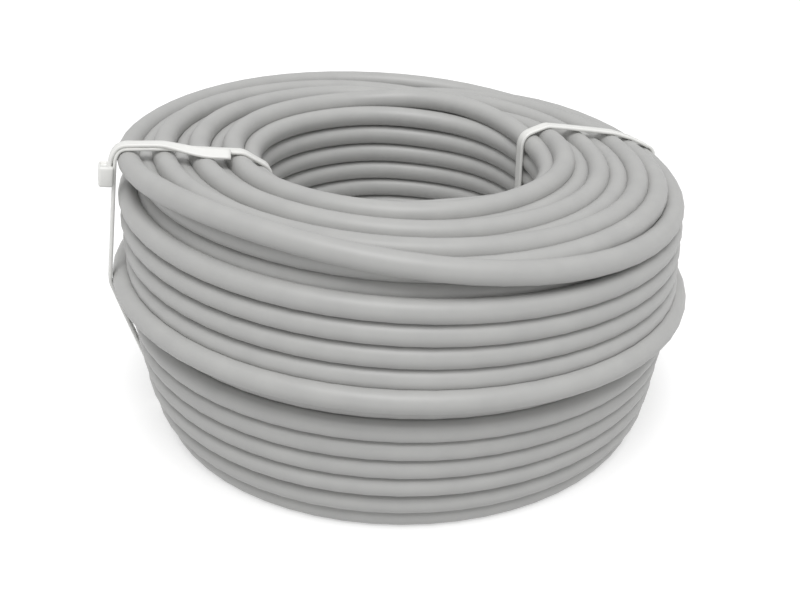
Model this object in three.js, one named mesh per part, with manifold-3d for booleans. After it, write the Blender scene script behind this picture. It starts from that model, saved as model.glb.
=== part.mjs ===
// Coil of network cable, wound without a core and held by two nylon cable ties.
// Millimetres, +Z up. The coil stands on its end and its axis is +Z; the origin is the centre of its foot.

import * as THREE from 'three';
import { mergeVertices } from 'three/addons/utils/BufferGeometryUtils.js';
import Module from 'manifold-3d';

const wasm = await Module();
wasm.setup();

// Cable and winding
const cableDiameter = 8.2;
const boreDiameter = 107.6;
const layerCount = 8;
const layerPitch = 6.6; // radial step from one layer of turns to the next
const turnPitch = 8; // height step from one turn to the next
const lowerTurns = 6; // turns on the narrow lower part of the outer face
const upperTurns = 5; // turns of the outermost layer, which stops above the lower part
const lowerInset = 3.7; // how far the topmost lower turn lies inside the outermost layer
const lowerTaper = 0.88; // how much each lower turn is smaller than the one above it
const proudTurnGap = 4; // extra height between the lower part and the outermost layer
const rimTurnGap = 6.6; // extra height below the loose turn on the upper rim
const leanPerMillimetre = 0.00073; // the turns stand higher at -X than at +X, the more so the higher they are
const segmentsAround = 36;

// Cable ties
const strapWidth = 4.8;
const strapThickness = 1.3;
const strapBend = 1.5; // length that each rounded corner of a strap takes from its straight runs
const clearance = 0.3; // between a strap and the cable
const strapLift = 0.25; // between a strap and the ground
const headWidth = 8.6;
const headLength = 8;
const headHeight = 6;
const leftHeadDrop = 5; // from the rim down to the head
const rightHeadDrop = 14;
const leftTailOnTop = 46; // length of the left tail that lies on the top
const tailStub = 3; // length of a tail that is cut off at its head
const tailTurn = THREE.MathUtils.degToRad(-5); // how far a tail on the top swings aside from its strap
const leftTieAngle = THREE.MathUtils.degToRad(197);
const rightTieAngle = THREE.MathUtils.degToRad(21);

const cableRadius = cableDiameter / 2;
const crownHalf = cableRadius * Math.tan(Math.PI / 8); // half of one face of the octagon that stands for a turn
const boreRadius = boreDiameter / 2;
const outerTurnRadius = boreRadius + cableRadius + (layerCount - 1) * layerPitch;
const fuse = 0.2; // overlap that joins the pieces of one tie

// Centres of the turns that show, as points of the section: x is the radius and y is the height
const lowerTurnRadius = (count) => outerTurnRadius - lowerInset - count * lowerTaper;
const outerFace = [];
for (let turn = 0; turn < lowerTurns; turn += 1) {
  outerFace.push(new THREE.Vector2(lowerTurnRadius(lowerTurns - 1 - turn), cableRadius + turn * turnPitch));
}
for (let turn = 0; turn < upperTurns; turn += 1) {
  const height = cableRadius + (lowerTurns + turn) * turnPitch + proudTurnGap;
  outerFace.push(new THREE.Vector2(outerTurnRadius, height));
}
const rimTurn = new THREE.Vector2(outerTurnRadius, outerFace.at(-1).y + turnPitch + rimTurnGap);
outerFace.push(rimTurn);
const footTurn = outerFace[0];
const coilHeight = rimTurn.y + cableRadius;

const evenRow = (start, end, count) => {
  const row = [];
  for (let turn = 0; turn < count; turn += 1) {
    row.push(start.clone().lerp(end, turn / (count - 1)));
  }
  return row;
};
const innerFoot = new THREE.Vector2(boreRadius + cableRadius, cableRadius);
const innerRim = new THREE.Vector2(boreRadius + cableRadius, rimTurn.y);
const foot = evenRow(innerFoot, footTurn, layerCount - 1);
const top = evenRow(rimTurn, innerRim, layerCount);
const boreTurns = Math.round((innerRim.y - innerFoot.y) / turnPitch) + 1;
const boreWall = evenRow(innerRim, innerFoot, boreTurns);

// One row of turns seen from outside along `out`: a flat crown on each turn and a groove between neighbours
const ridges = (row, out) => {
  const along = row.at(-1).clone().sub(row[0]).normalize();
  const points = [];
  row.forEach((centre, index) => {
    const crown = centre.clone().addScaledVector(out, cableRadius);
    points.push(crown.clone().addScaledVector(along, -crownHalf));
    points.push(crown.clone().addScaledVector(along, crownHalf));
    const next = row[index + 1];
    if (!next) {
      return;
    }
    const half = centre.distanceTo(next) / 2;
    const grooveDepth = Math.min(half - crownHalf, layerPitch);
    const middle = centre.clone().lerp(next, 0.5);
    points.push(middle.addScaledVector(out, cableRadius - grooveDepth));
  });
  return points;
};

// The section is closed on itself, so the turned solid has its bore
const section = [
  ...ridges(foot, new THREE.Vector2(0, -1)),
  ...ridges(outerFace, new THREE.Vector2(1, 0)),
  ...ridges(top, new THREE.Vector2(0, 1)),
  ...ridges(boreWall, new THREE.Vector2(-1, 0)),
];
section.push(section[0].clone());

const lean = (height, x) => height * (1 - leanPerMillimetre * x);

const toSolid = (geometry) => {
  const bare = geometry.clone();
  bare.deleteAttribute('normal');
  bare.deleteAttribute('uv');
  const merged = mergeVertices(bare, 1e-4);
  return new wasm.Manifold(new wasm.Mesh({
    numProp: 3,
    vertProperties: new Float32Array(merged.attributes.position.array),
    triVerts: new Uint32Array(merged.index.array),
  }));
};

const toGeometry = (solid) => {
  const mesh = solid.getMesh();
  const geometry = new THREE.BufferGeometry();
  geometry.setAttribute('position', new THREE.BufferAttribute(new Float32Array(mesh.vertProperties), 3));
  geometry.setIndex(new THREE.BufferAttribute(new Uint32Array(mesh.triVerts), 1));
  geometry.computeVertexNormals();
  return geometry;
};

// Places a shape drawn in a section plane, with x outwards and y up, at an angle around the coil's axis
const standAt = (geometry, angle) => {
  geometry.rotateX(Math.PI / 2);
  geometry.rotateZ(angle);
  return geometry;
};

const boxAlong = (length, height, width, x, y) => {
  const box = new THREE.BoxGeometry(length, height, width);
  box.translate(x, y, 0);
  return box;
};

// The cable, with a shallow slot across its foot below which each strap passes
const strapSlot = (angle) => {
  const slotHeight = strapLift + strapThickness + clearance;
  const length = outerTurnRadius;
  const box = boxAlong(length, 2 * slotHeight, strapWidth + 2 * clearance, boreRadius + length / 2 - cableRadius, 0);
  return toSolid(standAt(box, angle));
};

const windCoil = () => {
  const turned = new THREE.LatheGeometry(section, segmentsAround);
  turned.rotateX(Math.PI / 2);
  const place = turned.attributes.position;
  for (let index = 0; index < place.count; index += 1) {
    place.setZ(index, lean(place.getZ(index), place.getX(index)));
  }
  let solid = toSolid(turned);
  for (const angle of [leftTieAngle, rightTieAngle]) {
    solid = solid.subtract(strapSlot(angle));
  }
  return toGeometry(solid);
};

// The corners of a strap's inner side in the section plane at an angle, going round from the bore's foot
const strapCorners = (angle) => {
  const inner = boreRadius * Math.cos(Math.PI / segmentsAround) - clearance;
  const outer = outerTurnRadius + cableRadius + clearance;
  const roof = (radius) => lean(coilHeight, radius * Math.cos(angle)) + 2 * clearance;
  const proudHeight = outerFace[lowerTurns].y;
  return [
    new THREE.Vector2(inner, strapLift + strapThickness),
    new THREE.Vector2(footTurn.x + cableRadius + 2 * clearance, strapLift + strapThickness),
    new THREE.Vector2(outer, lean(proudHeight - cableRadius, outer * Math.cos(angle))),
    new THREE.Vector2(outer, roof(outer)),
    new THREE.Vector2(inner, roof(inner)),
  ];
};

const grow = (corners, distance) => corners.map((corner, index) => {
  const before = corners.at(index - 1);
  const after = corners[(index + 1) % corners.length];
  const first = corner.clone().sub(before).normalize();
  const second = after.clone().sub(corner).normalize();
  const firstOut = new THREE.Vector2(first.y, -first.x);
  const secondOut = new THREE.Vector2(second.y, -second.x);
  const bisector = firstOut.clone().add(secondOut).normalize();
  return corner.clone().addScaledVector(bisector, distance / bisector.dot(firstOut));
});

const roundedLoop = (corners, bend, path) => {
  corners.forEach((corner, index) => {
    const before = corners.at(index - 1);
    const after = corners[(index + 1) % corners.length];
    const start = corner.clone().add(before.clone().sub(corner).setLength(bend));
    const end = corner.clone().add(after.clone().sub(corner).setLength(bend));
    if (index === 0) {
      path.moveTo(start.x, start.y);
    } else {
      path.lineTo(start.x, start.y);
    }
    path.quadraticCurveTo(corner.x, corner.y, end.x, end.y);
  });
  path.closePath();
  return path;
};

// A tie: its strap round the winding, its ratchet head on the outer face and the cut tail that leaves the
// head upwards. A tail that is longer than the way to the rim is bent over and lies on the top.
const makeTie = (angle, headDrop, tailOnTop) => {
  const corners = strapCorners(angle);
  const outline = roundedLoop(grow(corners, strapThickness), strapBend + strapThickness, new THREE.Shape());
  outline.holes.push(roundedLoop(corners, strapBend, new THREE.Path()));
  const loop = new THREE.ExtrudeGeometry(outline, { depth: strapWidth, bevelEnabled: false, curveSegments: 4 });
  loop.translate(0, 0, -strapWidth / 2);

  const [, , , rim, boreRim] = corners;
  const strapFace = rim.x + strapThickness;
  const headMiddle = rim.y - headDrop - headLength / 2;
  const head = boxAlong(headHeight, headLength, headWidth, strapFace + headHeight / 2 - fuse, headMiddle);
  const tailTop = tailOnTop > 0 ? rim.y + 2 * strapThickness - fuse : rim.y - headDrop + tailStub;
  const rise = tailTop - headMiddle;
  const tail = boxAlong(strapThickness, rise, strapWidth, strapFace + strapThickness / 2 - fuse, tailTop - rise / 2);
  const pieces = [head, tail];

  if (tailOnTop > 0) {
    const slope = Math.atan2(rim.y - boreRim.y, rim.x - boreRim.x);
    const strip = boxAlong(tailOnTop, strapThickness, strapWidth, -tailOnTop / 2, 0);
    strip.rotateY(tailTurn);
    strip.rotateZ(slope);
    strip.translate(strapFace, rim.y + strapThickness * 1.5 - fuse, 0);
    pieces.push(strip);
  }

  let solid = toSolid(standAt(loop, angle));
  for (const piece of pieces) {
    solid = solid.add(toSolid(standAt(piece, angle)));
  }
  return toGeometry(solid);
};

const sheath = new THREE.MeshStandardMaterial({ color: 0xa9a9a8, roughness: 0.5, metalness: 0 });
const nylon = new THREE.MeshStandardMaterial({ color: 0xf1f1ee, roughness: 0.45, metalness: 0 });

const group = new THREE.Group();
const addPiece = (name, geometry, material) => {
  const mesh = new THREE.Mesh(geometry, material);
  mesh.name = name;
  group.add(mesh);
};

addPiece('cable_coil', windCoil(), sheath);
addPiece('tie_left', makeTie(leftTieAngle, leftHeadDrop, leftTailOnTop), nylon);
addPiece('tie_right', makeTie(rightTieAngle, rightHeadDrop, 0), nylon);

export default group;
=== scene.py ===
"""A coil of light grey network cable, wound without a core and held by two white nylon cable ties.

It stands on its end on a white studio floor. Lengths are in metres and the coil's axis is +Z.
"""

import math

import bmesh
import bpy
import numpy as np
from mathutils import Matrix, Vector


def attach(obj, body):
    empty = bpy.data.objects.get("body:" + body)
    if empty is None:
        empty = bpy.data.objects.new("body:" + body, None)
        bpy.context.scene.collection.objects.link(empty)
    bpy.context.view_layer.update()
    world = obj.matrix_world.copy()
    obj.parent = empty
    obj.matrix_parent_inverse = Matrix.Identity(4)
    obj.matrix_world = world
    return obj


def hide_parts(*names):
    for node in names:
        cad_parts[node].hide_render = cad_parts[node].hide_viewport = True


bl_info = {
    "name": "Network Cable Coil",
    "version": (1, 0, 0),
    "blender": (4, 5, 0),
    "location": "View3D > Sidebar > Cable Coil",
    "description": "Winds a coil of network cable and ties it with two nylon cable ties",
    "category": "Add Mesh",
}

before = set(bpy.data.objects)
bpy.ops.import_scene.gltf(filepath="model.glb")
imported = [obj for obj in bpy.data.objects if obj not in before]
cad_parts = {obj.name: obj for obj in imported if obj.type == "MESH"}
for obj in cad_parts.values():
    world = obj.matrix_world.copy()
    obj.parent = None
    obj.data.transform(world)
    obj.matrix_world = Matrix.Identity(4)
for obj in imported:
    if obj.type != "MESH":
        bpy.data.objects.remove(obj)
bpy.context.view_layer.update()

MM = 0.001


# Sizes and colours that a user would change


class CableSettings(bpy.types.PropertyGroup):
    """Sizes of the cable and of its winding."""

    diameter: bpy.props.FloatProperty(
        name="Cable diameter", description="Outer diameter of the cable's sheath",
        default=8.2 * MM, unit="LENGTH",
    )
    bore_turn_radius: bpy.props.FloatProperty(
        name="Bore turn radius", description="Radius of the middle of the innermost turns",
        default=57.9 * MM, unit="LENGTH",
    )
    turn_pitch: bpy.props.FloatProperty(
        name="Turn pitch", description="Height from one turn to the next", default=7.97 * MM, unit="LENGTH"
    )
    inner_layers: bpy.props.IntProperty(
        name="Inner layers", description="Layers that reach from the foot to the rim", default=7
    )
    turns_high: bpy.props.IntProperty(
        name="Turns per layer", description="Turns in one of the inner layers", default=13
    )
    outer_turns: bpy.props.IntProperty(
        name="Outer turns", description="Turns of the outermost layer, which ends with the proud turn",
        default=6,
    )
    sheath_colour: bpy.props.StringProperty(
        name="Sheath", description="Colour of the cable's sheath, sRGB hex", default="B8B8B7"
    )


class TieSettings(bpy.types.PropertyGroup):
    """Sizes and colour of the cable ties."""

    strap_width: bpy.props.FloatProperty(
        name="Strap width", description="Width of a cable tie's strap", default=4.8 * MM, unit="LENGTH"
    )
    strap_thickness: bpy.props.FloatProperty(
        name="Strap thickness", description="Thickness of a cable tie's strap",
        default=1.3 * MM, unit="LENGTH",
    )
    left_angle: bpy.props.FloatProperty(
        name="Left tie", description="Where the left tie crosses the coil's outer face",
        default=math.radians(195.5), subtype="ANGLE",
    )
    left_slant: bpy.props.FloatProperty(
        name="Left slant", description="How much further round the left tie crosses the bore's edge",
        default=math.radians(9), subtype="ANGLE",
    )
    right_angle: bpy.props.FloatProperty(
        name="Right tie", description="Where the right tie crosses the coil's outer face",
        default=math.radians(17), subtype="ANGLE",
    )
    right_slant: bpy.props.FloatProperty(
        name="Right slant", description="How much further round the right tie crosses the bore's edge",
        default=math.radians(5.5), subtype="ANGLE",
    )
    nylon_colour: bpy.props.StringProperty(
        name="Nylon", description="Colour of the cable ties, sRGB hex", default="F4F4F1"
    )


class StageSettings(bpy.types.PropertyGroup):
    """The floor and the camera."""

    floor_colour: bpy.props.StringProperty(
        name="Floor", description="Colour of the studio floor, sRGB hex", default="E2E2E2"
    )
    camera_distance: bpy.props.FloatProperty(
        name="Camera distance", description="From the camera to the point that it looks at",
        default=0.448, unit="LENGTH",
    )
    camera_elevation: bpy.props.FloatProperty(
        name="Camera elevation", description="Angle of the camera above the horizon",
        default=math.radians(25.9), subtype="ANGLE",
    )


# Colours and nodes


SHEATH_MOTTLE = 11.1 * MM  # size of the patches where the extruded skin is a little lighter or darker
SHEATH_DARKER = 0.955
SHEATH_LIGHTER = 1.03
SHEATH_GRAIN = 0.71 * MM  # coarser than the real grain, which would not show
NYLON_FLOW = 3.85 * MM  # size of the marks that the flowing nylon left in the mould
NYLON_DARKER = 0.97
PAPER_FIBRE = 1.67 * MM
PAPER_DARKER = 0.99
PAPER_GLOW = 0.5


def srgb(code):
    """The linear colour of an sRGB hex value."""
    channels = [int(code[place : place + 2], 16) / 255 for place in (0, 2, 4)]
    linear = [c / 12.92 if c <= 0.04045 else ((c + 0.055) / 1.055) ** 2.4 for c in channels]
    return (*linear, 1.0)


def shade(code, factor):
    """An sRGB hex value made lighter or darker."""
    channels = [min(255, round(int(code[place : place + 2], 16) * factor)) for place in (0, 2, 4)]
    return "".join(f"{channel:02X}" for channel in channels)


def add_node(tree, kind, settings=None, inputs=None, links=None):
    """Adds a node, sets its properties and its sockets, and links sockets to other nodes' outputs."""
    node = tree.nodes.new(kind)
    for name, value in (settings or {}).items():
        setattr(node, name, value)
    for name, value in (inputs or {}).items():
        node.inputs[name].default_value = value
    for name, output in (links or {}).items():
        tree.links.new(output, node.inputs[name])
    return node


def new_material(name):
    """An empty node material and its tree, with a Principled shader on its output."""
    material = bpy.data.materials.new(name)
    material.use_nodes = True
    tree = material.node_tree
    tree.nodes.clear()
    shader = add_node(tree, "ShaderNodeBsdfPrincipled")
    add_node(tree, "ShaderNodeOutputMaterial", links={"Surface": shader.outputs["BSDF"]})
    return material, tree, shader


def sheath_material(colour):
    """Halogen-free cable sheath, extruded: a satin skin that is slightly mottled and finely grained."""
    material, tree, shader = new_material("extruded_sheath_light_grey")
    place = add_node(tree, "ShaderNodeTexCoord")
    mottle = add_node(
        tree, "ShaderNodeTexNoise", inputs={"Scale": 1 / SHEATH_MOTTLE, "Detail": 3.0, "Roughness": 0.55},
        links={"Vector": place.outputs["Object"]},
    )
    tint = add_node(
        tree, "ShaderNodeMixRGB",
        inputs={"Color1": srgb(shade(colour, SHEATH_DARKER)), "Color2": srgb(shade(colour, SHEATH_LIGHTER))},
        links={"Fac": mottle.outputs["Fac"]},
    )
    tree.links.new(tint.outputs["Color"], shader.inputs["Base Color"])
    gloss = add_node(
        tree, "ShaderNodeMapRange", inputs={"To Min": 0.40, "To Max": 0.52},
        links={"Value": mottle.outputs["Fac"]},
    )
    tree.links.new(gloss.outputs["Result"], shader.inputs["Roughness"])
    grain = add_node(
        tree, "ShaderNodeTexNoise", inputs={"Scale": 1 / SHEATH_GRAIN, "Detail": 2.0},
        links={"Vector": place.outputs["Object"]},
    )
    bump = add_node(
        tree, "ShaderNodeBump", inputs={"Strength": 0.06, "Distance": 0.1 * MM},
        links={"Height": grain.outputs["Fac"]},
    )
    tree.links.new(bump.outputs["Normal"], shader.inputs["Normal"])
    shader.inputs["IOR"].default_value = 1.5
    return material


def nylon_material(colour):
    """Natural nylon, injection moulded: white, a little waxy, with light passing into it."""
    material, tree, shader = new_material("moulded_nylon_natural")
    place = add_node(tree, "ShaderNodeTexCoord")
    flow = add_node(
        tree, "ShaderNodeTexNoise", inputs={"Scale": 1 / NYLON_FLOW, "Detail": 2.0},
        links={"Vector": place.outputs["Object"]},
    )
    tint = add_node(
        tree, "ShaderNodeMixRGB",
        inputs={"Color1": srgb(shade(colour, NYLON_DARKER)), "Color2": srgb(colour)},
        links={"Fac": flow.outputs["Fac"]},
    )
    tree.links.new(tint.outputs["Color"], shader.inputs["Base Color"])
    gloss = add_node(
        tree, "ShaderNodeMapRange", inputs={"To Min": 0.34, "To Max": 0.46},
        links={"Value": flow.outputs["Fac"]},
    )
    tree.links.new(gloss.outputs["Result"], shader.inputs["Roughness"])
    shader.inputs["IOR"].default_value = 1.53
    shader.inputs["Subsurface Weight"].default_value = 0.15
    shader.inputs["Subsurface Radius"].default_value = (1.0, 1.0, 1.0)
    shader.inputs["Subsurface Scale"].default_value = 1.2 * MM
    return material


def metal_material(name, colour, roughness):
    """A bare drawn or rolled metal: its grey or copper colour comes from its reflections."""
    material, _, shader = new_material(name)
    shader.inputs["Base Color"].default_value = srgb(colour)
    shader.inputs["Metallic"].default_value = 1.0
    shader.inputs["Roughness"].default_value = roughness
    return material


def core_material():
    """Foamed polyethylene insulation, extruded: white and a little waxy."""
    material, _, shader = new_material("foamed_polyethylene_white")
    shader.inputs["Base Color"].default_value = srgb("ECEBE4")
    shader.inputs["Roughness"].default_value = 0.5
    return material


def floor_material(colour):
    """Matt white studio paper, lit a little from under it, so that shadows on it stay pale."""
    material, tree, shader = new_material("studio_paper_white")
    place = add_node(tree, "ShaderNodeTexCoord")
    fibre = add_node(
        tree, "ShaderNodeTexNoise", inputs={"Scale": 1 / PAPER_FIBRE, "Detail": 2.0},
        links={"Vector": place.outputs["Object"]},
    )
    tint = add_node(
        tree, "ShaderNodeMixRGB",
        inputs={"Color1": srgb(shade(colour, PAPER_DARKER)), "Color2": srgb(colour)},
        links={"Fac": fibre.outputs["Fac"]},
    )
    tree.links.new(tint.outputs["Color"], shader.inputs["Base Color"])
    tree.links.new(tint.outputs["Color"], shader.inputs["Emission Color"])
    shader.inputs["Emission Strength"].default_value = PAPER_GLOW
    shader.inputs["Roughness"].default_value = 0.9
    shader.inputs["Specular IOR Level"].default_value = 0.1
    return material


# The winding: where every turn of the cable lies


POINTS_PER_TURN = 60
SIDES = 16  # of the cable's round section
FRONT = math.radians(-90)
BACK = math.radians(90)
FOOT_TUCKS = (6.2 * MM, 2.0 * MM)  # how far the turns next to the floor lie inside the lower part's slope
LOWER_SLOPE = 0.14  # how fast the lower part widens with height
LOWER_TOP = 44 * MM  # height where the lower part is widest
LOWER_RADIUS = 102.5 * MM
UNDER_RADIUS = 97.6 * MM  # layer below the outermost one
UNDER_START = 4 * MM  # above LOWER_TOP, where the outer face steps in to that layer
UNDER_STEP = 10 * MM  # height that this step takes
OUTER_RADIUS = 104.2 * MM  # outermost layer
OUTER_LOWEST = 64.6 * MM  # height of the outermost layer's turn above the proud one
OUTER_PITCH = 8.1 * MM
PROUD_RADIUS = 108.4 * MM  # last turn, which stands proud halfway up the outer face
PROUD_HEIGHT = 58.8 * MM
BORE_FOOT = 4.6 * MM  # height of the cable's inner end
RIM_RISE = (  # how far the loose turn on the rim stands off, in millimetres, at angles in degrees
    (-180, 1.5), (-158, 5.2), (-142, 9.6), (-126, 12.0), (-110, 10.6), (-90, 6.8), (-65, 2.8), (-40, 0.6),
    (-15, 0.0), (10, 1.0), (35, 3.8), (60, 6.2), (90, 5.8), (130, 4.8), (155, 3.0),
)
RIM_TUCK = 3.2 * MM  # how far that turn lies inwards where it stands off most
RIM_TUCK_MIDDLE = math.radians(-128)
RIM_TUCK_HALF = math.radians(66)
FRONT_SHIFTS = {2: 1.6 * MM, 3: -0.8 * MM, 5: -1.6 * MM}  # heights of single top turns at the front, by layer
FRONT_HALF = math.radians(60)
SPREAD_INNER = 61.2 * MM  # where the top turns lie side by side at the right, the innermost one's radius
SPREAD_PITCH = 7.17 * MM
SPREAD_HEIGHT = 103.0 * MM
SPREAD_SINK = 4.6 * MM  # how far the bore's top turn is pressed down there
SPREAD_MIDDLE = math.radians(-12)
SPREAD_HALF = math.radians(72)
SPREAD_FLAT = 1.6  # the larger it is, the longer the stretch where the turns lie fully side by side
LEFT_PINCH = 2.8 * MM  # how far the upper turns are pulled in at the left
PINCH_HALF = math.radians(75)
PINCH_LOWEST = 50 * MM  # height where that starts
PINCH_FADE = 20 * MM
TOP_CROSSINGS = {0: math.radians(25), 2: math.radians(98), 4: math.radians(140), 6: math.radians(66)}
CROSSING_WIDTH = math.radians(46)
CROSSING_DRIFT = math.radians(9)  # how far the other crossings lie to each side of the back at most
CROSSING_BEAT = 2.4  # how fast their side changes from layer to layer
LEAN_OUTSIDE = 0.83  # per metre of radius and metre of height, as the turns stand higher at -X
LEAN_INSIDE = 0.62  # the same, at the bore
TOUCHING = 0.925  # how near the middles of two turns come, in cable diameters, as their sheaths are soft
END_SHORT = math.radians(20)  # the cable's outer end stops this far before the crossing that would follow
PUSH = 0.42  # share of an overlap that each of two turns yields in one step
STIFFNESS = 0.22  # how much of its bend the cable loses in one step
HOMING = 0.04  # how much nearer to its wished place a turn goes in one step
BORE_SLACK = 0.6 * MM  # how far a turn may be pushed into the bore
LAST_SMOOTHINGS = 4
NOWHERE = 1000.0  # a place far from every turn, for the rest of the last row
STEPS = 160
FOOT_LIFT_HALF = math.radians(16)  # half the stretch on which a strap below it lifts the cable
UNDER_STRAP = 0.1 * MM  # clearance above and below a strap that passes under the cable


def smooth(value):
    """A soft step from 0 to 1."""
    value = np.clip(value, 0.0, 1.0)
    return value * value * (3 - 2 * value)


def hump(angle, centre, half_width):
    """1 at an angle around the coil and 0 beyond half_width on each side of it."""
    away = np.abs((angle - centre + np.pi) % (2 * np.pi) - np.pi)
    return smooth(1 - away / half_width)


def under_radius(height, cable):
    """Radius of the seventh layer's turns at a height."""
    lower = LOWER_RADIUS - LOWER_SLOPE * np.maximum(LOWER_TOP - height, 0)
    place = round(float((height - cable.diameter / 2) / cable.turn_pitch))
    if place < len(FOOT_TUCKS):
        lower = lower - FOOT_TUCKS[place]
    above = smooth((height - LOWER_TOP - UNDER_START) / UNDER_STEP)
    return lower + (UNDER_RADIUS - lower) * above


def turn_list(cable):
    """(layer, height at the coil's axis, place in its layer) of every turn, from the cable's inner end."""
    turns = []
    for layer in range(cable.inner_layers):
        base = cable.diameter / 2 + (cable.turn_pitch / 2 if layer % 2 else 0)
        order = range(cable.turns_high)
        if layer % 2:
            order = reversed(order)
        turns += [(layer, base + place * cable.turn_pitch, place) for place in order]
    for place in range(cable.outer_turns - 1):
        height = OUTER_LOWEST + (cable.outer_turns - 2 - place) * OUTER_PITCH
        turns.append((cable.inner_layers, height, place))
    turns.append((cable.inner_layers, PROUD_HEIGHT, cable.outer_turns - 1))
    return turns


def home(turn, angle, cable):
    """(radius, height) of a turn at angles around the coil."""
    layer, height, place = turn
    outermost = layer == cable.inner_layers
    proud = outermost and place == cable.outer_turns - 1
    if proud:
        radius = PROUD_RADIUS
    elif outermost:
        radius = OUTER_RADIUS
    else:
        share = layer / (cable.inner_layers - 1)
        radius = cable.bore_turn_radius + share * (under_radius(height, cable) - cable.bore_turn_radius)
    share = min(1.0, (radius - cable.bore_turn_radius) / (OUTER_RADIUS - cable.bore_turn_radius))
    lean = LEAN_INSIDE + (LEAN_OUTSIDE - LEAN_INSIDE) * share
    if layer == 0:
        top = cable.diameter / 2 + (cable.turns_high - 1) * cable.turn_pitch
        height = BORE_FOOT + (top - BORE_FOOT) * place / (cable.turns_high - 1)
    height = np.full_like(angle, height)
    radius = np.full_like(angle, radius)
    spread = smooth(SPREAD_FLAT * hump(angle, SPREAD_MIDDLE, SPREAD_HALF))
    if layer == 0:
        height = height - SPREAD_SINK * place / (cable.turns_high - 1) * spread
    elif not outermost and place == cable.turns_high - 1:
        side_by_side = SPREAD_INNER + (layer - 1) * SPREAD_PITCH
        radius = radius + (side_by_side - radius) * spread
        height = height + (SPREAD_HEIGHT - height) * spread
        height = height + FRONT_SHIFTS.get(layer, 0) * hump(angle, FRONT, FRONT_HALF)
    height = height * (1 - lean * radius * np.cos(angle))
    if not proud:
        pinched = hump(angle, math.pi, PINCH_HALF) * smooth((height - PINCH_LOWEST) / PINCH_FADE)
        radius = radius - LEFT_PINCH * share * pinched
    if outermost and place == 0:
        ats, lifts = zip(*RIM_RISE)
        height = height + np.interp(np.degrees(angle), ats, np.array(lifts) * MM, period=360)
        radius = radius - RIM_TUCK * hump(angle, RIM_TUCK_MIDDLE, RIM_TUCK_HALF)
    return radius, height


def wind(cable, steps, foot_lift):
    """The cable's centreline, an array of points, and the angle of each."""
    turns = turn_list(cable)
    ends = []
    for index, (layer, _, place) in enumerate(turns):
        centre = FRONT if layer == 0 else BACK + CROSSING_DRIFT * math.sin(CROSSING_BEAT * layer)
        if place == cable.turns_high - 1 and layer in TOP_CROSSINGS:
            centre = TOP_CROSSINGS[layer]
        ends.append(FRONT + 2 * math.pi * (index + 1) + (centre - FRONT) % (2 * math.pi))
    total = int((ends[-1] - END_SHORT - FRONT) / (2 * math.pi) * POINTS_PER_TURN)
    theta = FRONT + 2 * math.pi * np.arange(total) / POINTS_PER_TURN
    which = np.searchsorted(ends, theta)
    places = np.zeros((total, 2))
    for index, turn in enumerate(turns):
        mine = which == index
        places[mine] = np.stack(home(turn, theta[mine], cable), 1)
    for index in range(len(turns) - 1):
        near = np.abs(theta - ends[index]) < CROSSING_WIDTH / 2
        step = smooth((theta[near] - ends[index]) / CROSSING_WIDTH + 0.5)
        first = np.stack(home(turns[index], theta[near], cable), 1)
        second = np.stack(home(turns[index + 1], theta[near], cable), 1)
        places[near] = first + (second - first) * step[:, None]
    places = settle(places, theta, cable, steps, foot_lift)
    radius, height = places[:, 0], places[:, 1]
    points = np.stack([radius * np.cos(theta), radius * np.sin(theta), height], 1)
    return points, places, theta


def settle(places, theta, cable, steps, foot_lift):
    """Pushes turns that lie in one another apart, half-plane by half-plane, and keeps the cable smooth."""
    total = len(places)
    rows = math.ceil(total / POINTS_PER_TURN)
    reach = TOUCHING * cable.diameter
    grid = np.full((rows, POINTS_PER_TURN, 2), NOWHERE)
    line = grid.reshape(-1, 2)[:total]
    line[:] = places
    wish = grid.copy()
    floor = cable.diameter / 2 + foot_lift(theta[:POINTS_PER_TURN])
    upper, lower = np.triu_indices(rows, 1)
    for _ in range(steps):
        gap = grid[upper] - grid[lower]
        span = np.linalg.norm(gap, axis=2)
        close = span < reach
        pair, column = np.nonzero(close)
        if len(pair):
            distance = np.maximum(span[close], 1e-6)
            push = gap[close] * ((reach - distance) / distance * PUSH)[:, None]
            np.add.at(grid, (upper[pair], column), push)
            np.add.at(grid, (lower[pair], column), -push)
        line[1:-1] += STIFFNESS * (line[:-2] - 2 * line[1:-1] + line[2:])
        grid += HOMING * (wish - grid)
        grid[..., 1] = np.maximum(grid[..., 1], floor)
        grid[..., 0] = np.maximum(grid[..., 0], cable.bore_turn_radius - BORE_SLACK)
    for _ in range(LAST_SMOOTHINGS):
        line[1:-1] += 0.25 * (line[:-2] - 2 * line[1:-1] + line[2:])
    return line


def foot_lift_of(ties):
    """A function of angles around the coil: how far the straps that pass under it lift the cable."""
    rise = ties.strap_thickness + 2 * UNDER_STRAP

    def lift(angle):
        raised = np.zeros_like(angle)
        for centre in (ties.left_angle, ties.right_angle):
            raised = np.maximum(raised, rise * hump(angle, centre, FOOT_LIFT_HALF))
        return raised

    return lift


# Meshes


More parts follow.
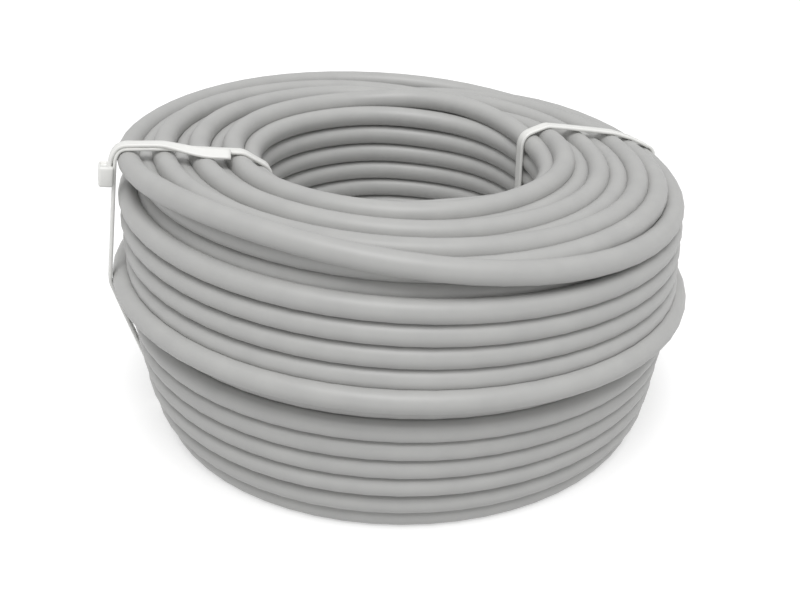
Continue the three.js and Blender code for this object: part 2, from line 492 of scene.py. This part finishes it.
def swept_tube_tree(material):
    """Geometry nodes that sweep a round section along a curve and close its ends."""
    tree = bpy.data.node_groups.new("swept_cable", "GeometryNodeTree")
    tree.interface.new_socket("Geometry", in_out="INPUT", socket_type="NodeSocketGeometry")
    radius = tree.interface.new_socket("Radius", in_out="INPUT", socket_type="NodeSocketFloat")
    sides = tree.interface.new_socket("Sides", in_out="INPUT", socket_type="NodeSocketInt")
    tree.interface.new_socket("Geometry", in_out="OUTPUT", socket_type="NodeSocketGeometry")
    entry = add_node(tree, "NodeGroupInput")
    section = add_node(
        tree, "GeometryNodeCurvePrimitiveCircle", {"mode": "RADIUS"},
        links={"Radius": entry.outputs["Radius"], "Resolution": entry.outputs["Sides"]},
    )
    sweep = add_node(
        tree, "GeometryNodeCurveToMesh", inputs={"Fill Caps": True},
        links={"Curve": entry.outputs["Geometry"], "Profile Curve": section.outputs["Curve"]},
    )
    soft = add_node(tree, "GeometryNodeSetShadeSmooth", links={"Geometry": sweep.outputs["Mesh"]})
    whole = add_node(tree, "GeometryNodeRealizeInstances", links={"Geometry": soft.outputs["Geometry"]})
    dressed = add_node(
        tree, "GeometryNodeSetMaterial", inputs={"Material": material},
        links={"Geometry": whole.outputs["Geometry"]},
    )
    add_node(tree, "NodeGroupOutput", links={"Geometry": dressed.outputs["Geometry"]})
    return tree, {"Radius": radius.identifier, "Sides": sides.identifier}


def curve_through(name, points):
    """A poly curve through points."""
    data = bpy.data.curves.new(name, "CURVE")
    data.dimensions = "3D"
    data.twist_mode = "Z_UP"
    spline = data.splines.new("POLY")
    spline.points.add(len(points) - 1)
    flat = np.concatenate([points, np.ones((len(points), 1))], 1).ravel()
    spline.points.foreach_set("co", flat)
    piece = bpy.data.objects.new(name, data)
    bpy.context.scene.collection.objects.link(piece)
    return piece


def through_nodes(source, name, tree, values):
    """The plain mesh that a geometry node tree makes of an object, as a new object in its place."""
    modifier = source.modifiers.new("build", "NODES")
    modifier.node_group = tree
    for identifier, value in values.items():
        modifier[identifier] = value
    graph = bpy.context.evaluated_depsgraph_get()
    mesh = bpy.data.meshes.new_from_object(source.evaluated_get(graph), depsgraph=graph)
    mesh.name = name
    source.modifiers.remove(modifier)
    bpy.data.objects.remove(source)
    piece = bpy.data.objects.new(name, mesh)
    bpy.context.scene.collection.objects.link(piece)
    return piece


def mesh_object(name, vertices, faces, material, smooth_shading=True):
    """A mesh object from lists of vertices and faces."""
    mesh = bpy.data.meshes.new(name)
    mesh.from_pydata([tuple(v) for v in vertices], [], faces)
    mesh.materials.append(material)
    mesh.polygons.foreach_set("use_smooth", [smooth_shading] * len(mesh.polygons))
    mesh.update()
    piece = bpy.data.objects.new(name, mesh)
    bpy.context.scene.collection.objects.link(piece)
    return piece


# Cable ties


LEFT_HEAD_DROP = 9.5 * MM  # from the rim's corner down to the middle of the head
RIGHT_HEAD_DROP = 18 * MM
LEFT_TAIL = 50 * MM  # from the middle of the head to the tail's cut end
RIGHT_TAIL = 7.5 * MM
SWING_HEIGHT = 78 * MM  # below it a tie swings on round the coil, on its way down the outer face
STRAP_SIGHT = math.radians(4.5)  # a strap lies on the turns this far to each side of its middle
STRAP_STEP = 1.2 * MM
STRAP_CLEARANCE = 0.12 * MM  # between a strap and the cable
STRAP_TENSION = 24  # rounds of smoothing that pull a strap straight between the turns it lies on
STRAP_LIFT = 0.3 * MM  # between a strap and the floor
HULL_LIFT = 0.1 * MM  # the same, before the strap is pulled straight
RIM_POINTS = 40  # of the circle round a turn on which the strap's middle may lie
BAND_EDGE = 0.28  # share of a strap's thickness that its rounded edge takes
BAND_RIB = 0.45  # share of its half width where the ratchet's groove starts
BAND_GROOVE = 0.12 * MM
HEAD_SIZES = (7.6 * MM, 5.2 * MM, 8.2 * MM)  # along the strap, outwards and across
HEAD_SINK = 0.35 * MM  # how far the strap lies in the head
HEAD_BEVEL = 0.9 * MM
WINDOW_SIZES = (1.2 * MM, 2.2 * MM, 4.4 * MM)  # the recess over the pawl, at the head's upper end
WINDOW_BEVEL = 0.2 * MM
WINDOW_BEYOND = 0.5 * MM  # how far the recess opens through the head's upper face
WINDOW_OUT = 0.9 * MM  # how far outside the head's middle the recess lies
TAIL_CLEARANCE = 1.02  # from the strap's middle to the tail's, in thicknesses, where the tail lies on it
TAIL_LIFT = 0.9 * MM  # how much higher the tail leaves the head
TAIL_FALL = 7 * MM  # length on which it comes down to the strap
SLIDE_START = 22 * MM  # along the tail, where it starts to slide off its strap towards the front
SLIDE_LENGTH = 20 * MM
SLIDE_WIDTH = 4.6 * MM
SLIDE_SINK = 0.8  # share of its height over the strap that the tail loses there
SLIDE_TWIST = math.radians(24)


def hull_of(points):
    """The corners of the convex outline round points, anticlockwise."""
    points = sorted(map(tuple, points))

    def half(sequence):
        chain = []
        for p in sequence:
            while len(chain) > 1:
                (ax, ay), (bx, by) = chain[-2], chain[-1]
                if (bx - ax) * (p[1] - ay) - (by - ay) * (p[0] - ax) > 0:
                    break
                chain.pop()
            chain.append(p)
        return chain

    lower = half(points)
    upper = half(points[::-1])
    return np.array(lower[:-1] + upper[:-1])


def even_loop(corners, step):
    """Points a step apart round a closed outline."""
    ring = np.vstack([corners, corners[:1]])
    lengths = np.concatenate([[0], np.cumsum(np.linalg.norm(np.diff(ring, axis=0), axis=1))])
    count = int(lengths[-1] / step)
    wanted = np.linspace(0, lengths[-1], count, endpoint=False)
    return np.stack([np.interp(wanted, lengths, ring[:, axis]) for axis in (0, 1)], 1)


def slanted(outline, angle, slant, cable):
    """The angle around the coil of a tie's points of radius and height: it swings round on its way down."""
    share = np.clip((outline[:, 0] - cable.bore_turn_radius) / (OUTER_RADIUS - cable.bore_turn_radius), 0, 1)
    return angle + slant * (1 - share) - slant * share * smooth(1 - outline[:, 1] / SWING_HEIGHT)


def strap_line(places, theta, angle, slant, cable, ties):
    """The middle of a strap as a closed outline of radius and height, tight round the turns it crosses."""
    wanted = slanted(places, angle, slant, cable)
    away = np.abs((theta - wanted + np.pi) % (2 * np.pi) - np.pi)
    near = places[away < STRAP_SIGHT]
    circle = np.linspace(0, 2 * math.pi, RIM_POINTS, endpoint=False)
    reach = cable.diameter / 2 + STRAP_CLEARANCE + ties.strap_thickness / 2
    rims = near[:, None, :] + reach * np.stack([np.cos(circle), np.sin(circle)], 1)[None]
    outline = hull_of(rims.reshape(-1, 2))
    outline[:, 1] = np.maximum(outline[:, 1], ties.strap_thickness / 2 + HULL_LIFT)
    loop = even_loop(outline, STRAP_STEP)
    for _ in range(STRAP_TENSION):
        loop = 0.5 * loop + 0.25 * (np.roll(loop, 1, 0) + np.roll(loop, -1, 0))
        away = loop[:, None, :] - near[None]
        distance = np.linalg.norm(away, axis=2)
        nearest = distance.argmin(1)
        rows = np.arange(len(loop))
        short = np.maximum(reach - distance[rows, nearest], 0)
        loop = loop + away[rows, nearest] / distance[rows, nearest][:, None] * short[:, None]
        loop[:, 1] = np.maximum(loop[:, 1], ties.strap_thickness / 2 + STRAP_LIFT)
    return loop


def band_section(width, thickness):
    """A strap's section: flat, with round edges and a shallow groove; x is across it and y is outwards."""
    edge = thickness * BAND_EDGE
    half_w, half_t = width / 2, thickness / 2
    rib, groove = half_w * BAND_RIB, half_t - BAND_GROOVE
    return [
        (-half_w + edge, -half_t), (half_w - edge, -half_t),
        (half_w, -half_t + edge), (half_w, half_t - edge),
        (half_w - edge, half_t), (rib, groove), (-rib, groove), (-half_w + edge, half_t),
        (-half_w, half_t - edge), (-half_w, -half_t + edge),
    ]


def sweep_band(line, outs, acrosses, section, closed):
    """Vertices and faces of a section carried along a line."""
    vertices = []
    for point, out, across in zip(line, outs, acrosses):
        vertices += [point + across * x + out * y for x, y in section]
    size, rings = len(section), len(line)
    faces = []
    for ring in range(rings if closed else rings - 1):
        following = (ring + 1) % rings
        for side in range(size):
            after = (side + 1) % size
            faces.append((
                ring * size + side, ring * size + after, following * size + after, following * size + side,
            ))
    if not closed:
        faces.append(tuple(reversed(range(size))))
        faces.append(tuple(range((rings - 1) * size, rings * size)))
    return vertices, faces


def facing_out(piece):
    """Turns a closed mesh's faces outwards."""
    shape = bmesh.new()
    shape.from_mesh(piece.data)
    bmesh.ops.remove_doubles(shape, verts=shape.verts, dist=1e-6)
    bmesh.ops.recalc_face_normals(shape, faces=shape.faces)
    shape.to_mesh(piece.data)
    shape.free()
    return piece


def in_space(outline, angle, slant, cable):
    """Points of radius and height as points in space, on a tie's slanted course."""
    at = slanted(outline, angle, slant, cable)
    return np.stack([outline[:, 0] * np.cos(at), outline[:, 0] * np.sin(at), outline[:, 1]], 1)


def frames_along(line, outline_outs, angle):
    """Directions outwards and across at each point of a strap's closed line."""
    ahead = np.roll(line, -1, 0) - np.roll(line, 1, 0)
    ahead /= np.linalg.norm(ahead, axis=1)[:, None]
    sideways, upwards = outline_outs[:, 0], outline_outs[:, 1]
    flat = np.stack([sideways * math.cos(angle), sideways * math.sin(angle), upwards], 1)
    outs = flat - (flat * ahead).sum(1)[:, None] * ahead
    outs /= np.linalg.norm(outs, axis=1)[:, None]
    return outs, np.cross(ahead, outs)


def outwards_of(outline):
    """Unit vectors out of an anticlockwise closed outline of radius and height."""
    ahead = np.roll(outline, -1, 0) - np.roll(outline, 1, 0)
    ahead /= np.linalg.norm(ahead, axis=1)[:, None]
    return np.stack([ahead[:, 1], -ahead[:, 0]], 1)


def rounded_box(name, centre, along, out, across, sizes, bevel, material):
    """A box with rounded edges; sizes go along, out and across."""
    shape = bmesh.new()
    bmesh.ops.create_cube(shape, size=1.0)
    bmesh.ops.scale(shape, vec=sizes, verts=shape.verts)
    bmesh.ops.bevel(shape, geom=shape.edges[:], offset=bevel, segments=3, profile=0.5, affect="EDGES")
    turn = Matrix((along, out, across)).transposed().to_4x4()
    turn.translation = centre
    bmesh.ops.transform(shape, matrix=turn, verts=shape.verts)
    mesh = bpy.data.meshes.new(name)
    shape.to_mesh(mesh)
    shape.free()
    mesh.materials.append(material)
    mesh.polygons.foreach_set("use_smooth", [True] * len(mesh.polygons))
    piece = bpy.data.objects.new(name, mesh)
    bpy.context.scene.collection.objects.link(piece)
    return facing_out(piece)


def tie_head(name, line, outs, across, seat, ties, material):
    """A tie's ratchet head on its strap, with the recess over its pawl."""
    half_head = HEAD_SIZES[1] / 2
    middle = line[seat] + outs[seat] * (ties.strap_thickness / 2 + half_head - HEAD_SINK)
    ahead = np.cross(outs[seat], across[seat])
    if ahead[2] < 0:
        ahead = -ahead
    side = np.cross(ahead, outs[seat])
    head = rounded_box(name + "_head", middle, ahead, outs[seat], side, HEAD_SIZES, HEAD_BEVEL, material)
    upper_end = ahead * ((HEAD_SIZES[0] - WINDOW_SIZES[0]) / 2 + WINDOW_BEYOND)
    window_middle = middle + upper_end + outs[seat] * WINDOW_OUT
    cut = rounded_box(
        name + "_window", window_middle, ahead, outs[seat], side, WINDOW_SIZES, WINDOW_BEVEL, material
    )
    hole = head.modifiers.new("window", "BOOLEAN")
    hole.operation = "DIFFERENCE"
    hole.object = cut
    graph = bpy.context.evaluated_depsgraph_get()
    head.data = bpy.data.meshes.new_from_object(head.evaluated_get(graph), depsgraph=graph)
    head.modifiers.remove(hole)
    bpy.data.objects.remove(cut)
    return head


def tie_tail(name, line, outs, across, seat, length, section, ties, material):
    """A tie's tail: it leaves the head's upper end, lies on the strap and slides off it towards the front."""
    steps = np.arange(int(length / STRAP_STEP))
    rows = (seat + steps) % len(line)
    travelled = steps * STRAP_STEP
    slide = smooth((travelled - SLIDE_START) / SLIDE_LENGTH)
    lift = ties.strap_thickness * TAIL_CLEARANCE + TAIL_LIFT * (1 - smooth(travelled / TAIL_FALL))
    lift = lift * (1 - SLIDE_SINK * slide)
    tail_line = line[rows] + outs[rows] * lift[:, None] + across[rows] * SLIDE_WIDTH * slide[:, None]
    turn_cos = np.cos(SLIDE_TWIST * slide)[:, None]
    turn_sin = np.sin(SLIDE_TWIST * slide)[:, None]
    tail_outs = outs[rows] * turn_cos + across[rows] * turn_sin
    tail_across = across[rows] * turn_cos - outs[rows] * turn_sin
    vertices, faces = sweep_band(tail_line, tail_outs, tail_across, section, False)
    return facing_out(mesh_object(name + "_tail", vertices, faces, material))


def make_tie(name, wound, angle, slant, drop, tail_length, cable, ties, material):
    """One cable tie: its strap round the winding, its head on the outer face and its cut tail."""
    outline = strap_line(wound["places"], wound["theta"], angle, slant, cable, ties)
    line = in_space(outline, angle, slant, cable)
    outs, across = frames_along(line, outwards_of(outline), angle)
    section = band_section(ties.strap_width, ties.strap_thickness)
    vertices, faces = sweep_band(line, outs, across, section, True)
    strap = facing_out(mesh_object(name + "_strap", vertices, faces, material))

    # The outline climbs the outer face, so steps back from the rim's corner go down to the head
    seat = int(np.argmax(outline[:, 0] + outline[:, 1]))
    steps = np.linalg.norm(outline - np.roll(outline, 1, 0), axis=1)
    walked = 0.0
    while walked < drop:
        walked += steps[seat]
        seat -= 1
    head = tie_head(name, line, outs, across, seat, ties, material)
    tail = tie_tail(name, line, outs, across, seat, tail_length, section, ties, material)
    return [strap, head, tail]


# The cable's cut ends


CUT_SIDES = 20  # of each round rod
BRAID_RADIUS = 3.25 * MM
PAIR_RADIUS = 1.3 * MM
PAIR_PLACE = 1.75 * MM  # from the cable's middle to each of its four pairs
CORE_RADIUS = 0.6 * MM
WIRE_RADIUS = 0.28 * MM
CORE_SLIMNESS = 0.97  # so that the two cores of a pair don't share a line
ROD_DEPTH = 1.5 * MM  # how far back in the cable the rods of a cut end start
STAND_OUTS = (0.15 * MM, 0.45 * MM, 0.8 * MM, 1.1 * MM)  # how far braid, foil, cores and wires stand out


def rods(name, centre, along, places, radius, stand_out, material):
    """Short round rods that stand out of a cable's cut end, in one mesh."""
    along = along / np.linalg.norm(along)
    side = np.cross(along, (0, 0, 1.0))
    side /= np.linalg.norm(side)
    up = np.cross(side, along)
    turn = 2 * math.pi * np.arange(CUT_SIDES) / CUT_SIDES
    vertices = []
    faces = []
    for x, y in places:
        start = len(vertices)
        for depth in (-ROD_DEPTH, stand_out):
            for angle in turn:
                across = side * (x + radius * math.cos(angle)) + up * (y + radius * math.sin(angle))
                vertices.append(centre + across + along * depth)
        low, high = start, start + CUT_SIDES
        for index in range(CUT_SIDES):
            after = (index + 1) % CUT_SIDES
            faces.append((low + index, low + after, high + after, high + index))
        faces.append(tuple(low + index for index in reversed(range(CUT_SIDES))))
        faces.append(tuple(high + index for index in range(CUT_SIDES)))
    return facing_out(mesh_object(name, vertices, faces, material, False))


def cut_end(name, point, along, finishes):
    """What shows at a cut end of the cable: braid, four foil-wrapped pairs, their cores and wires."""
    braid, foil, core, wire = finishes
    quarter = [math.pi / 4 + math.pi / 2 * index for index in range(4)]
    pairs = [(PAIR_PLACE * math.cos(a), PAIR_PLACE * math.sin(a)) for a in quarter]
    cores = [
        (x + sign * CORE_RADIUS * math.sin(a + index), y + sign * CORE_RADIUS * math.cos(a + index))
        for index, ((x, y), a) in enumerate(zip(pairs, quarter)) for sign in (-1, 1)
    ]
    parts = (
        ("braid", [(0.0, 0.0)], BRAID_RADIUS, braid), ("foil", pairs, PAIR_RADIUS, foil),
        ("cores", cores, CORE_RADIUS * CORE_SLIMNESS, core), ("wires", cores, WIRE_RADIUS, wire),
    )
    for (part, places, radius, material), stand_out in zip(parts, STAND_OUTS):
        piece = rods(f"{name}_{part}", point, along, places, radius, stand_out, material)
        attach(piece, "root")


# The pieces


WOUND = {}  # the winding's points, its places as radius and height, and their angles, kept for ends and ties


class CABLECOIL_OT_cable(bpy.types.Operator):
    """Winds the cable"""

    bl_idname = "cablecoil.cable"
    bl_label = "Wind the cable"

    def execute(self, context):
        cable = context.scene.cable_settings
        ties = context.scene.tie_settings
        material = sheath_material(cable.sheath_colour)
        steps = STEPS
        points, places, theta = wind(cable, steps, foot_lift_of(ties))
        WOUND.update(points=points, places=places, theta=theta)
        tree, sockets = swept_tube_tree(material)
        line = curve_through("cable_line", points)
        values = {sockets["Radius"]: cable.diameter / 2, sockets["Sides"]: SIDES}
        piece = through_nodes(line, "wound_cable", tree, values)
        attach(piece, "root")
        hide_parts("cable_coil")
        return {"FINISHED"}


class CABLECOIL_OT_ends(bpy.types.Operator):
    """Shows the braid, foils and wires at the cable's two cut ends"""

    bl_idname = "cablecoil.ends"
    bl_label = "Cut the cable's ends"

    def execute(self, context):
        points = WOUND["points"]
        finishes = (
            metal_material("braid_tinned_copper", "B9B7B2", 0.45),
            metal_material("rolled_foil_aluminium", "D5D6D8", 0.28),
            core_material(),
            metal_material("drawn_copper_wire", "D99A74", 0.3),
        )
        cut_end("inner_end", points[0], points[0] - points[1], finishes)
        cut_end("outer_end", points[-1], points[-1] - points[-2], finishes)
        return {"FINISHED"}


class CABLECOIL_OT_ties(bpy.types.Operator):
    """Puts the two cable ties round the winding"""

    bl_idname = "cablecoil.ties"
    bl_label = "Tie the coil"

    def execute(self, context):
        cable = context.scene.cable_settings
        ties = context.scene.tie_settings
        material = nylon_material(ties.nylon_colour)
        for name, node, angle, slant, drop, tail in (
            ("left_tie", "tie_left", ties.left_angle, ties.left_slant, LEFT_HEAD_DROP, LEFT_TAIL),
            ("right_tie", "tie_right", ties.right_angle, ties.right_slant, RIGHT_HEAD_DROP, RIGHT_TAIL),
        ):
            for piece in make_tie(name, WOUND, angle, slant, drop, tail, cable, ties, material):
                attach(piece, "root")
                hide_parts(node)
        return {"FINISHED"}


# Stage


CAMERA_TARGET = Vector((0.0, 0.0, 47.0 * MM))
FOCAL_PIXELS = 1097.6  # focal length of the camera that was fitted to the photograph
IMAGE_WIDTH = 800
SENSOR_WIDTH = 36.0
IMAGE_RISE = 15.65  # pixels that the target stands above the image's middle
FLOOR_SIZE = 6.0
SKY_STRENGTH = 0.6
KEY_AZIMUTH = math.radians(-88)  # the key light comes from above the camera
KEY_ELEVATION = math.radians(65)
KEY_SPREAD = math.radians(30)
KEY_STRENGTH = 1.6
LAMP_DISTANCE = 2.0


def far_light(name, azimuth, elevation, spread, strength):
    """A broad light from far off, so that it lights the whole floor evenly."""
    data = bpy.data.lights.new(name, "SUN")
    data.angle = spread
    data.energy = strength
    lamp = bpy.data.objects.new(name, data)
    towards = Vector((
        math.cos(elevation) * math.cos(azimuth), math.cos(elevation) * math.sin(azimuth), math.sin(elevation)
    ))
    lamp.location = towards * LAMP_DISTANCE
    lamp.rotation_euler = (-towards).to_track_quat("-Z", "Y").to_euler()
    bpy.context.scene.collection.objects.link(lamp)


class CABLECOIL_OT_stage(bpy.types.Operator):
    """Makes the floor, the lights and the camera"""

    bl_idname = "cablecoil.stage"
    bl_label = "Set the stage"

    def execute(self, context):
        settings = context.scene.stage_settings
        bpy.ops.mesh.primitive_plane_add(size=FLOOR_SIZE, location=(0, 0, 0))
        floor = context.active_object
        floor.name = "studio_floor"
        floor.data.materials.append(floor_material(settings.floor_colour))
        # The world lights the coil from below too, so the floor neither stops light nor sends any back
        floor.visible_diffuse = False
        floor.visible_shadow = False
        world = bpy.data.worlds.new("studio_light")
        context.scene.world = world
        world.use_nodes = True
        sky = world.node_tree.nodes["Background"]
        sky.inputs["Color"].default_value = (1, 1, 1, 1)
        sky.inputs["Strength"].default_value = SKY_STRENGTH
        far_light("key_light", KEY_AZIMUTH, KEY_ELEVATION, KEY_SPREAD, KEY_STRENGTH)
        camera = bpy.data.cameras.new("camera")
        camera.sensor_width = SENSOR_WIDTH
        camera.lens = FOCAL_PIXELS * SENSOR_WIDTH / IMAGE_WIDTH
        camera.shift_y = -IMAGE_RISE / IMAGE_WIDTH
        viewer = bpy.data.objects.new("camera", camera)
        elevation = settings.camera_elevation
        back = Vector((0, -math.cos(elevation), math.sin(elevation)))
        viewer.location = CAMERA_TARGET + back * settings.camera_distance
        viewer.rotation_euler = (-back).to_track_quat("-Z", "Y").to_euler()
        context.scene.collection.objects.link(viewer)
        context.scene.camera = viewer
        context.scene.view_settings.view_transform = "Standard"
        return {"FINISHED"}


class CABLECOIL_PT_panel(bpy.types.Panel):
    """Lists the pieces of the coil"""

    bl_idname = "CABLECOIL_PT_panel"
    bl_label = "Cable Coil"
    bl_space_type = "VIEW_3D"
    bl_region_type = "UI"
    bl_category = "Cable Coil"

    def draw(self, context):
        for operator in OPERATORS:
            self.layout.operator(operator.bl_idname)
        for group in (context.scene.cable_settings, context.scene.tie_settings, context.scene.stage_settings):
            for name in group.bl_rna.properties.keys():
                if name not in ("rna_type", "name"):
                    self.layout.prop(group, name)


GROUPS = {"cable_settings": CableSettings, "tie_settings": TieSettings, "stage_settings": StageSettings}
OPERATORS = (CABLECOIL_OT_stage, CABLECOIL_OT_cable, CABLECOIL_OT_ends, CABLECOIL_OT_ties)


def register():
    for name, group in GROUPS.items():
        bpy.utils.register_class(group)
        setattr(bpy.types.Scene, name, bpy.props.PointerProperty(type=group))
    for operator in OPERATORS:
        bpy.utils.register_class(operator)
    bpy.utils.register_class(CABLECOIL_PT_panel)


def unregister():
    bpy.utils.unregister_class(CABLECOIL_PT_panel)
    for operator in reversed(OPERATORS):
        bpy.utils.unregister_class(operator)
    for name, group in reversed(GROUPS.items()):
        delattr(bpy.types.Scene, name)
        bpy.utils.unregister_class(group)


def main():
    register()
    bpy.ops.cablecoil.stage()
    bpy.ops.cablecoil.cable()
    bpy.ops.cablecoil.ends()
    bpy.ops.cablecoil.ties()


if __name__ == "__main__":
    main()
